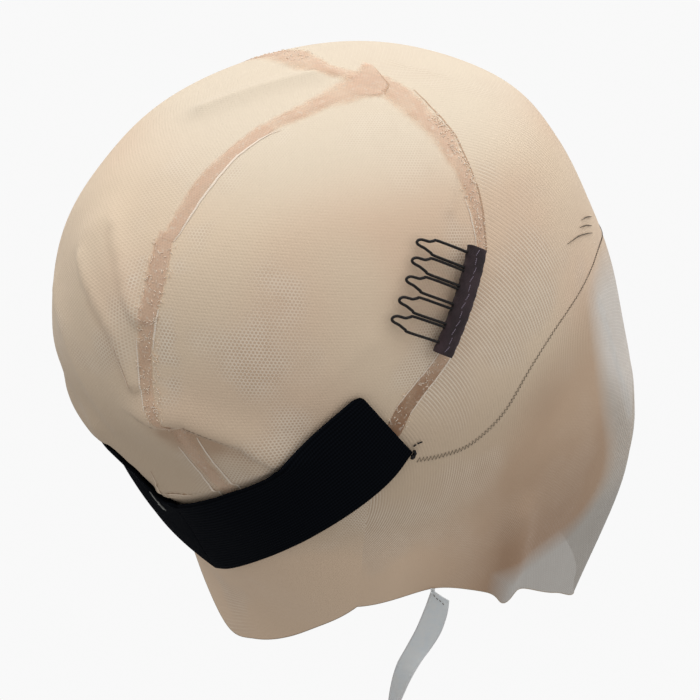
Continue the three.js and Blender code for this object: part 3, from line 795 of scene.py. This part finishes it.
# Edges of the front tape: arc from the crown, towards the face and towards the back.
FRONT_EDGES = [
    (-150, -3.2, 3.2), (-125, -2.6, 2.6), (-90, -2.5, 2.5), (-79, -1.3, 2.6), (-69, -1.6, 3.9),
    (-61, -1.7, 5.3), (-52, -1.9, 6.5), (-44, -3.4, 7.5), (-31, -4, 8.5), (-20, -6.2, 7.7), (-8, -5, 8),
    (0, 1, 12), (8, 3.5, 16.5), (21, 0.5, 16), (32, -3, 13.5), (45, -4.5, 10.5), (60, -3, 7), (79, -1.5, 3),
    (90, -2.5, 2.5), (125, -2.6, 2.6), (150, -3.2, 3.2),
]
# Edges of the two lengths of the back tape: distance along, towards the left and towards the right.
UPPER_EDGES = [
    (1, -1.5, 2), (3, -1.2, 4.5), (9, -0.5, 14), (16.5, 0, 17.5), (25, -0.6, 14.5), (34, -1.2, 9.2),
    (46, -2.4, 6.7), (54, -2.4, 4.4), (70, -3.2, 2.9), (84, -4.5, 2.3), (100, -4.7, 1.4), (103, -4.7, 0.8),
]
LOWER_EDGES = [
    (101, -6.3, 1), (106, -5.8, 1.9), (112, -4.5, 3.4), (120, -2.9, 3.9), (130, -2.8, 3.6),
    (138, -2.2, 3.2), (145, -1.4, 3.8), (153, 0.8, 5.4), (164, 3.2, 6.4), (168, 3.6, 7.2),
]
# Below the pleat the back tape follows a line of its own and goes under the band.
BELOW_PLEAT = [
    (-36.3, 99.8, -79), (-37.5, 97, -84), (-39.3, 93.2, -91.5), (-40.9, 88.9, -98.7), (-41.2, 82, -109),
    (-41.5, 78.4, -115),
]
PLEAT_EDGES = [(0, -4.4, 4.0), (20, -4.4, 4.4), (50, -4.2, 4.2)]


def wander(run, seed, size):
    """A slow seeded wobble along a run in millimetres."""
    rng = np.random.default_rng(seed)
    total = np.zeros_like(run)
    for wave in (31.0, 17.0, 9.0, 5.0):
        total += np.sin(run * 2 * math.pi / wave + rng.uniform(0, 6.28)) * (wave / 31) ** 0.5
    return size * total / 2.2


def edges_at(rows, run):
    """Both edges of a tape at a run along its guide."""
    along, low, high = np.array(rows, float).T
    return np.interp(run, along, low), np.interp(run, along, high)


class Strip:
    """A tape of doubled net and its cords, by distance along a guide and aside from it."""

    def __init__(self, guide, start=0.0):
        self.guide, self.start = guide, start
        self.shape, self.values = Shape(), []

    def beside(self, run, aside):
        return self.guide.beside((run + self.start) / self.guide.length, aside)

    def spread(self, run, across, height, slot=0):
        along = np.broadcast_to(run[:, None], across.shape)
        self.shape.grid(on_cap(self.beside(along, across), height), np.stack([across, along], -1), slot)

    def lay(self, rows, run, lift, soft_below, soft_above, seed):
        low, high = edges_at(rows, run)
        low, high = low + wander(run, seed, TAPE_WANDER), high + wander(run, seed + 1, TAPE_WANDER)
        across = low[:, None] + (high - low)[:, None] * (TAPE_ASIDE + 1) / 2
        puff = TAPE_PUFF * np.cos(across * 1.3 + run[:, None] / 2.7) * (1 - TAPE_ASIDE**4)
        height = np.interp(TAPE_ASIDE, *np.array(TAPE_LIFTS).T) + puff + np.reshape(lift, (-1, 1))
        self.spread(run, across, height)
        soft = [np.reshape(s, (-1, 1)) for s in (soft_below, soft_above)]
        values = np.broadcast_arrays(TAPE_ASIDE, *soft, across)[:3]
        self.values.append(np.stack(values, -1).reshape(-1, 3))

    def cord(self, run, aside, radius, slot, lift=0.0):
        fade = np.sin(np.linspace(0.05, math.pi - 0.05, len(run))) ** 0.35
        across = aside[:, None] + CORD_WIDE * radius * fade[:, None] * CORD_ASIDE
        height = CORD_LIFT + CORD_HIGH * radius * (1 - CORD_ASIDE**2) + np.reshape(lift, (-1, 1))
        self.spread(run, across, height, slot)
        self.values.append(np.zeros((across.size, 3)))

    def keep(self, name, node):
        values = dict(zip(("aside", "soft_below", "soft_above"), np.vstack(self.values).T))
        return keep(name, self.shape, [TAPE, PALE_THREAD, FOLD_THREAD], "seam_tape", node, **values)


front_strip = Strip(seam_across, CROWN)
arc = np.linspace(-150, 150, 340)
crisp = np.clip((np.abs(arc) - FIRM_FROM) / FIRM_FADE, 0, 1)
front_strip.lay(FRONT_EDGES, arc, 0.0, 0.5 * (1 - crisp), 1 - crisp, 3)
# The left side repeats the cords of the right one, apart from the first.
for start, end, edge, radius, slot in (
    (-20, -60, 0, 0.12, FOLD),
    (-62, -84, 0, 0.16, FOLD),
    (-66, -84, 1, 0.12, PALE),
    (-104, -140, 0, 0.16, PALE),
    (-108, -140, 1, 0.14, PALE),
):
    run = np.linspace(start, end, 70)
    waver = wander(run, 21, CORD_WANDER)
    front_strip.cord(run, edges_at(FRONT_EDGES, run)[edge] + waver, radius, slot)
    if start < -60:
        front_strip.cord(-run, edges_at(FRONT_EDGES, -run)[edge] + waver, radius, slot)
front_tape = front_strip.keep("front_tape", "front_seam_tape")


def over_front(run):
    """Rise of the back tape where it laps over the front one."""
    return LAP_FRONT * np.clip(1 - (run - 20) / 10, 0, 1)


# The back tape is in two lengths: the upper one laps over the front tape and over the lower one.
back_strip = Strip(back_line)
run = np.linspace(1, 103, 150)
rise = over_front(run) + LAP_LOWER * np.clip(1 - (103 - run) / 9, 0, 1)
middle = np.clip((run - 15) / 8, 0, 1) * np.clip((56 - run) / 8, 0, 1)
back_strip.lay(UPPER_EDGES, run, rise, 0.8, middle, 11)
back_strip.lay(LOWER_EDGES, np.linspace(101, 168, 110), 0.0, 0.5, 0.3, 17)
for rows, start, end, edge, radius, slot in (
    (UPPER_EDGES, 50, 103, 1, 0.22, PALE),
    (UPPER_EDGES, 3, 15, 1, 0.14, FOLD),
    (LOWER_EDGES, 124, 137, 1, 0.2, PALE),
    (LOWER_EDGES, 134, 158, 0, 0.16, PALE),
):
    run = np.linspace(start, end, 80)
    aside = edges_at(rows, run)[edge] + wander(run, 23, CORD_WANDER)
    back_strip.cord(run, aside, radius, slot, over_front(run))
back_strip.guide = Guide(BELOW_PLEAT)
back_strip.lay(PLEAT_EDGES, np.linspace(0, back_strip.guide.length, 70), 0.0, 0.9, 0.9, 19)
for edge in (0, 1):
    run = np.linspace(6 - 2 * edge, back_strip.guide.length, 60)
    back_strip.cord(run, edges_at(PLEAT_EDGES, run)[edge] + wander(run, 25 + edge, CORD_WANDER), 0.2, PALE)
back_tape = back_strip.keep("back_tape", "back_seam_tape")


def flecks(name, strip, rows, spans, seed):
    """Short pale stitches scattered over a tape: each span has its start, end, edges in shares and count."""
    rng = np.random.default_rng(seed)
    lines = []
    for start, end, low, high, count in spans:
        run = rng.uniform(start, end, count)
        a, b = edges_at(rows, run)
        aside = a + (b - a) * rng.uniform(low, high, count)
        turn, long = rng.uniform(0, math.pi, count), rng.uniform(0.25, 0.6, count)
        step = np.linspace(-1, 1, 4) * long[:, None]
        along = run[:, None] + step * np.cos(turn)[:, None]
        across = aside[:, None] + step * np.sin(turn)[:, None]
        lines += [(line, FLECK_RADIUS) for line in on_cap(strip.beside(along, across), FLECK_LIFTS)]
    return threads(name, lines, 5, PALE_THREAD, "seam_tape")


spans = [(-62, -34, 0.0, 0.45, 110), (-86, -62, 0.0, 1.0, 70), (-145, -100, -0.1, 1.1, 60)]
spans.append((20, 145, 0.0, 0.6, 140))
front_flecks = flecks("front_tape_stitches", front_strip, FRONT_EDGES, spans, 5)
spans = [(104, 132, -0.1, 1.1, 80), (132, 162, -0.1, 1.4, 100)]
back_flecks = flecks("back_tape_stitches", Strip(back_line), LOWER_EDGES, spans, 6)

# Pale edges where the lace folds over itself, as narrow strips: the folded edge of the net with a painted
# highlight on it
FOLD_EDGES = [
    [(-14.5, 93, -106), (-14, 90.3, -112), (-14.4, 87, -118.2)],
    [(-13.5, 87.5, -116.5), (-20, 88, -113), (-28, 87.5, -110)],
    [(-13, 105.3, -57.5), (-16.5, 104.8, -63.5), (-20, 104.3, -70)],
    [(-30, 101, -80.6), (-37, 97.7, -78.8), (-45, 91.3, -81.9), (-51, 85.4, -84.6)],
]
FOLD_HALF, FOLD_LIFT, FOLD_HIGH = 0.3, 0.6, 0.15


def fold_edges():
    shape = Shape()
    aside = np.linspace(-1, 1, 4)
    for row in FOLD_EDGES:
        line = smooth_line(row, 14)
        across = unit(np.cross(normals(towards(line)), unit(np.gradient(line, axis=0))))
        half = FOLD_HALF * np.sin(np.linspace(0.1, math.pi - 0.1, len(line))) ** 0.5
        spread = line[:, None] + across[:, None] * (half[:, None] * aside)[..., None]
        uv = np.stack(np.broadcast_arrays(aside, np.arange(len(line))[:, None] * 0.5), -1)
        shape.grid(on_cap(towards(spread), FOLD_LIFT + FOLD_HIGH * (1 - aside**2)), uv)
    return keep("lace_fold_edges", shape, [FOLD_EDGE_HIGHLIGHT], "back_net")


fold_lines = fold_edges()

# Elastic band: two halves with rounded selvedges that meet at the nape
BAND_CORNER = 3.2  # radius of the upper corner at the ear
BAND_RIM = 0.8  # how far in from its edges the band is rounded
BAND_OUTER, BAND_INNER = (0.8, 1.5), (0.7, 0.1)  # lift of each face on the lace, at the edge and further in
BAND_RIBS = [(1.6, 0.18), (2.8, -0.12)]  # place from the edge and height of a rib and a groove
RIB_HALF = 0.5
BAND_CLEAR = 0.15  # half of the gap at the nape
LEFT_RISE = [(1.5, 95.2, -105.6), (-9.3, 92.2, -111)]  # the left half dips late to the nape


def band_half(name, top_rows, foot_rows):
    top, foot = Guide(top_rows), Guide(foot_rows)
    along, across = shares(120), shares(28)
    wide = np.linalg.norm(np.array(top_rows[0], float) - np.array(foot_rows[0], float))
    rim = np.minimum(across, 1 - across) * wide
    corner = np.clip(BAND_CORNER - across * wide, 0, BAND_CORNER)
    setback = BAND_CORNER - np.sqrt(BAND_CORNER**2 - corner**2)
    share = along[:, None] + (1 - along[:, None]) ** 8 * setback / top.length
    share = share * (1 - BAND_CLEAR / top.length)
    rows = between(top.at(share), foot.at(share), column(across))
    round_off = np.sqrt(np.clip(1 - np.clip(1 - rim / BAND_RIM, 0, 1) ** 2, 0, 1))
    ribs = sum(height * np.exp(-(((rim - place) / RIB_HALF) ** 2)) for place, height in BAND_RIBS)
    outer, inner = (ON_LACE + edge + (full - edge) * round_off for edge, full in (BAND_OUTER, BAND_INNER))
    rings = np.concatenate([on_cap(rows, outer + ribs), on_cap(rows, inner)[:, ::-1]], 1)
    place = np.r_[across, across[::-1], across[:1]] * wide
    run = along * top.length
    return lofted(f"elastic_{name}", rings, place, run, ELASTIC, "elastic", f"elastic_band_{name}")


left_top = [*mirrored(BAND_TOP[:-1]), *LEFT_RISE, BAND_TOP[-1]]
left_foot = [*mirrored(BAND_FOOT[:-1]), BAND_FOOT[-1]]
band_right = band_half("right", BAND_TOP, BAND_FOOT)
band_left = band_half("left", left_top, left_foot)

# Combs, each in a straight frame of its own: along the bar, and away from it towards the tips
COMB_LONG, COMB_WIDE, COMB_BOW, COMB_HIGH = 34, 6.4, 0.8, 3.0
COMB_MIDDLE = (-74.5, 19, -45)
COMB_HEADING = (-0.19, 0.57, -0.8)
COMB_PITCH, COMB_SPREAD = 5.8, 0.06  # of the teeth, which stand a little wider at their tips
BAR_LIFT = ON_LACE + 1.0 + 0.3  # on the front tape, with a gap
WIRE_RADIUS, TIP_LIFT = 0.46, 2.8
STITCHES, STITCH_START, STITCH_PITCH, STITCH_LONG = 12, -16.2, 2.75, 2.1
TOOTH = [  # away from the bar, half width to the crown, half width to the ear
    (-2.4, 2.0, 2.0),
    (-0.8, 2.35, 2.35),
    (4, 2.45, 2.45),
    (11.2, 2.5, 2.45),
    (12.3, 2.1, 2.05),
    (13.7, 1.4, 1.6),
    (15.0, 1.3, 1.2),
    (16.6, 1.2, 0.95),
    (17.6, 0.75, 0.65),
    (18, 0.2, 0.2),
]


class Comb:
    def __init__(self, side):
        turn = np.array((-side, 1, 1))
        direction = towards(COMB_MIDDLE * turn)
        self.origin, out = inside(direction[None])[0], normals(direction[None])[0]
        self.across = side * unit(np.cross(out, COMB_HEADING * turn))
        self.ahead = side * np.cross(self.across, out)

    def at(self, along, away):
        along, away = np.broadcast_arrays(np.asarray(along, float), np.asarray(away, float))
        away = away - COMB_BOW * (1 - (2 * along / COMB_LONG) ** 2)
        return towards(self.origin + along[..., None] * self.ahead + away[..., None] * self.across)


def comb_bar(name, comb):
    w, h = COMB_WIDE / 2, COMB_HIGH
    outline = np.array([
        (-w, 0.5), (-w + 0.5, 0), (w - 0.5, 0), (w, 0.5), (w + 0.1, 1.2), (w, 2.0), (w - 0.3, 2.5),
        (w - 0.9, h - 0.1), (w - 1.8, h + 0.1), (0, h + 0.15), (-w + 1.6, h + 0.1), (-w + 0.5, h),
        (-w, h - 0.5),
    ])
    run = (shares(70) - 0.5) * COMB_LONG
    directions = comb.at(run, 0)
    uneven = 1 + 0.03 * np.sin(run * 1.7) + 0.02 * np.sin(run * 4.1 + 1)
    wide = comb.across * outline[None, :, :1] * uneven[:, None, None]
    high = normals(directions)[:, None] * outline[None, :, 1:]
    rings = on_cap(directions, BAR_LIFT)[:, None] + wide + high
    place = run_along(np.vstack([outline, outline[:1]]))
    lofted(f"comb_binding_{name}", rings, place, run, BINDING, "comb_binding", f"comb_bar_{name}")


def comb_wire(name, comb):
    rows = []
    for k in range(-2, 3):
        rows += [(k, -crown, away) for away, crown, _ in TOOTH]
        rows += [(k, ear, away) for away, _, ear in TOOTH[::-1]]
    tooth, aside, away = np.array(rows).T
    out = away / TOOTH[-1][0]
    along = tooth * COMB_PITCH * (1 + COMB_SPREAD * out) + aside + 0.5 * (tooth > 0) - 0.5
    base = BAR_LIFT + COMB_HIGH / 2
    lift = base + (TIP_LIFT - base) * np.maximum(out, 0)
    shape = Shape()
    shape.tube(smooth_line(on_cap(comb.at(along, COMB_WIDE / 2 + away), lift), 6), WIRE_RADIUS, 10)
    keep(f"comb_teeth_{name}", shape, [WIRE], "comb_wire", f"comb_wire_{name}")


def comb_stitches(name, comb):
    """A wavering line of stitches along the bar."""
    lines = []
    for k in range(STITCHES):
        run = STITCH_START + k * STITCH_PITCH + np.linspace(0, STITCH_LONG, 7)
        aside = 0.5 + 0.3 * np.sin(run * 0.8) + np.linspace(-0.25, 0.25, 7)
        lift = COMB_HIGH + 0.08 + 0.1 * np.sin(np.linspace(0, math.pi, 7))
        directions = comb.at(run, 0)
        line = on_cap(directions, BAR_LIFT) + aside[:, None] * comb.across
        lines.append((line + normals(directions) * lift[:, None], 0.14))
    threads(f"comb_stitches_{name}", lines, 6, GREY_THREAD, "comb_binding")


for name, side in (("right", -1), ("left", 1)):
    comb = Comb(side)
    comb_bar(name, comb)
    comb_wire(name, comb)
    comb_stitches(name, comb)

# Label: a thin satin ribbon sewn by one corner, so that it hangs askew and turns
LABEL_SEWN = (-68.4, 21.5, -154.4)
LABEL_LEVEL = np.array((-0.64, -0.77, 0))
LABEL_OUT = np.array((-0.77, 0.64, 0))
LABEL_ROWS = np.array(
    [  # left edge across and down, right edge across and down, turn of the right edge outward
        (-1.0, 0.6, 4.8, 4.4, 1.2),
        (-1.9, 3.6, 4.5, 8.0, 1.4),
        (-3.1, 7.8, 3.8, 12.2, 1.0),
        (-6.0, 16.5, 2.2, 18.1, 0.4),
        (-9.2, 24, -0.7, 24.3, 0),
        (-11.9, 30, -4.2, 29, 1.8),
        (-13.5, 36, -7.4, 33.5, 4.5),
        (-14.4, 41.5, -9.8, 38.6, 6),
        (-14.9, 46, -11.5, 43.2, 6.8),
        (-15.3, 51, -12.7, 48, 7.2),
    ]
)
LABEL_WIDE, LABEL_HALF, LABEL_CROWN = 8.5, 0.14, 0.45  # width, half thickness and crown across


def label():
    rows = smooth_line(LABEL_ROWS, 10)[:, :, None]
    across = np.linspace(0, 1, 13)
    aside = rows[:, 0] + (rows[:, 2] - rows[:, 0]) * across
    down = rows[:, 1] + (rows[:, 3] - rows[:, 1]) * across
    out = rows[:, 4] * across + LABEL_CROWN * np.sin(across * math.pi)
    sewn = on_cap(towards(LABEL_SEWN)[None], 1.0)[0]
    middle = sewn + aside[..., None] * LABEL_LEVEL + out[..., None] * LABEL_OUT
    middle = middle - down[..., None] * np.array((0, 0, 1.0))
    face = unit(np.cross(np.gradient(middle, axis=0), np.gradient(middle, axis=1)))
    face *= np.sign((face @ LABEL_OUT).mean())
    rings = np.concatenate([middle + face * LABEL_HALF, (middle - face * LABEL_HALF)[:, ::-1]], 1)
    place = (np.r_[across, across[::-1], across[:1]] - 0.5) * LABEL_WIDE
    made = lofted("label", rings, place, run_along(middle[:, 6]), SATIN, "satin", "label_ribbon")
    return made, middle + face * 0.2


ribbon, ribbon_rows = label()

# Sewn threads
HAIR_PITCH, HAIR_LIFT, HAIR_RADIUS = 0.68, 0.66, 0.1
TEMPLE_STITCHES = [
    [(-60, -48.6, -45.4), (-56.9, -54.8, -47.4), (-53.4, -60.2, -50.6)],
    [(-62.4, -45.6, -46.3), (-59.8, -51.8, -48.3), (-56.6, -57.2, -51.7)],
    [(-67.7, -34.9, -46.7), (-64.3, -43.5, -48), (-61.6, -50.2, -50.2), (-58.2, -56.2, -53.4)],
]
# A lumpy knot at the band's lower corner, then two short stitches: points, radius, lift.
BAND_KNOTS = [
    ([(-73.9, 36.6, -93.2), (-73.9, 36.2, -94.4)], 0.6, 1.9),
    ([(-73.8, 36.4, -94.6), (-73.6, 36.6, -95.8)], 0.65, 1.7),
    ([(-73.7, 37.2, -94.4), (-73.5, 37.4, -95.6)], 0.6, 2.3),
    ([(-73.8, 36.4, -92.1), (-74.0, 35.5, -91.6)], 0.22, 1.0),
    ([(-74.1, 35.0, -91.4), (-74.5, 33.4, -91.2)], 0.24, 1.0),
]
NAPE_TACK = [
    [(3.6, 81.5, -128), (1.6, 81, -129.2), (-1.8, 81.4, -129.1), (-4.4, 80.6, -130.5)],
    [(0.6, 82.4, -127), (-0.6, 81.3, -129.2), (-2.2, 80, -131.8)],
    [(-2.4, 82.2, -127.6), (-1.4, 81, -130), (0.4, 80.2, -131.2)],
]


def sewn(points, steps, lift):
    return on_cap(towards(smooth_line(points, steps)), lift)


def hairline():
    """A fine dark zigzag along the hairline, wider towards the ears."""
    hair = Guide([*mirrored(HAIRLINE)[::-1], *HAIRLINE[1:]])
    count = int(hair.length / HAIR_PITCH)
    share = shares(count)
    swing = 0.28 + 0.55 * np.clip((np.abs(2 * share - 1) - 0.55) / 0.4, 0, 1)
    aside = swing * np.where(np.arange(count + 1) % 2, 1, -1)
    line = on_cap(hair.beside(share, aside), HAIR_LIFT)
    threads("hairline_thread", [(line, HAIR_RADIUS)], 5, BROWN_THREAD, "front_net")


def temple_stitches():
    """Short dark stitches at each temple, which taper."""
    lines = [sewn(row, 8, 0.85) for row in [*TEMPLE_STITCHES, *map(mirrored, TEMPLE_STITCHES)]]
    taper = [0.06 + 0.14 * np.sin(np.linspace(0.15, math.pi - 0.15, len(line))) for line in lines]
    threads("temple_stitches", zip(lines, taper), 6, BROWN_THREAD, "front_net")


def band_threads():
    """Black threads that hold the front ends of the band, and a grey tack near the nape."""
    knots = [(sewn(p, 5, lift), radius) for row, radius, lift in BAND_KNOTS for p in (row, mirrored(row))]
    threads("band_end_threads", knots, 8, BLACK_THREAD, "elastic")
    tack = [(sewn(row, 8, ON_LACE + 2.0), 0.2) for row in NAPE_TACK]
    threads("nape_tack", tack, 6, TACK_THREAD, "elastic")


def label_threads():
    """Stitches along the label's slanted top, and a frayed bead at its sewn corner."""
    rng = np.random.default_rng(4)
    stitches, fray = [], []
    for row, col in ((4, 2), (5, 4), (5, 6), (6, 8)):
        a, b = ribbon_rows[row, col], ribbon_rows[row + 1, col + 1]
        stitches.append((np.array([a, (a + b) / 2 + LABEL_OUT * 0.12, b]), 0.1))
    corner = ribbon_rows[0, 1]
    for _ in range(14):
        tip = corner + rng.normal(0, 0.5, 3) + np.array((0, 0, rng.uniform(-0.4, 1.4)))
        bend = (corner + tip) / 2 + rng.normal(0, 0.35, 3) + LABEL_OUT * 0.3
        start = corner + rng.normal(0, 0.25, 3)
        fray.append((smooth_line([start, bend, tip], 5), 0.14))
    threads("label_stitches", stitches, 6, BROWN_THREAD, "satin")
    threads("label_fray", fray, 5, SATIN, "satin")


hairline()
temple_stitches()
band_threads()
label_threads()

# Floor, light and camera
FLOOR_Z, FLOOR_HALF, FLOOR_GLOW = -0.5, 12.0, 0.945
WORLD_LIGHT = 0.38
AZIMUTH, ELEVATION = math.radians(230), math.radians(29.4)
CENTRE, DISTANCE = Vector((0, 0, -0.1)), 0.9
SENSOR_MM, LENS_MM, SHIFT = 36, 135.15, -0.0111


def floor():
    mesh = bpy.data.meshes.new("floor")
    corners = [(x * FLOOR_HALF, y * FLOOR_HALF, FLOOR_Z) for x, y in ((-1, -1), (1, -1), (1, 1), (-1, 1))]
    mesh.from_pydata(corners, [], [(0, 1, 2, 3)])
    paint = Paint("pale_floor", Roughness=1.0, Base_Color=lin(0, 0, 0), Specular_IOR_Level=0.0)
    paint.set("Emission Color", (1, 1, 1, 1))
    paint.set("Emission Strength", FLOOR_GLOW)
    mesh.materials.append(paint.material)
    made = placed("floor", mesh)
    made.visible_diffuse = made.visible_glossy = made.visible_shadow = False


def lamp(name, place, aim, size, power):
    data = bpy.data.lights.new(name, "AREA")
    data.shape = "DISK"
    data.size = size
    data.energy = power
    made = placed(name, data)
    made.location = place
    made.rotation_euler = (Vector(place) - Vector(aim)).to_track_quat("Z", "Y").to_euler()


floor()
lamp("top_light", (0.55, -0.35, 1.45), (0, 0, -0.1), 4.0, 48)
lamp("side_light", (-1.12, -0.72, 0.35), (0, 0, -0.12), 2.0, 3.7)
world = bpy.data.worlds.new("studio")
world.use_nodes = True
sky = world.node_tree.nodes["Background"].inputs
sky["Color"].default_value = (1, 1, 1, 1)
sky["Strength"].default_value = WORLD_LIGHT
bpy.context.scene.world = world
bpy.context.scene.view_settings.view_transform = "Standard"

level = math.cos(ELEVATION)
back = Vector((math.sin(AZIMUTH) * level, -math.cos(AZIMUTH) * level, math.sin(ELEVATION)))
camera = placed("camera", bpy.data.cameras.new("camera"))
camera.data.sensor_width = SENSOR_MM
camera.data.lens = LENS_MM
camera.data.shift_y = SHIFT
camera.data.clip_start, camera.data.clip_end = 0.01, 100
camera.location = CENTRE + back * DISTANCE
camera.rotation_euler = back.to_track_quat("Z", "Y").to_euler()
bpy.context.scene.camera = camera
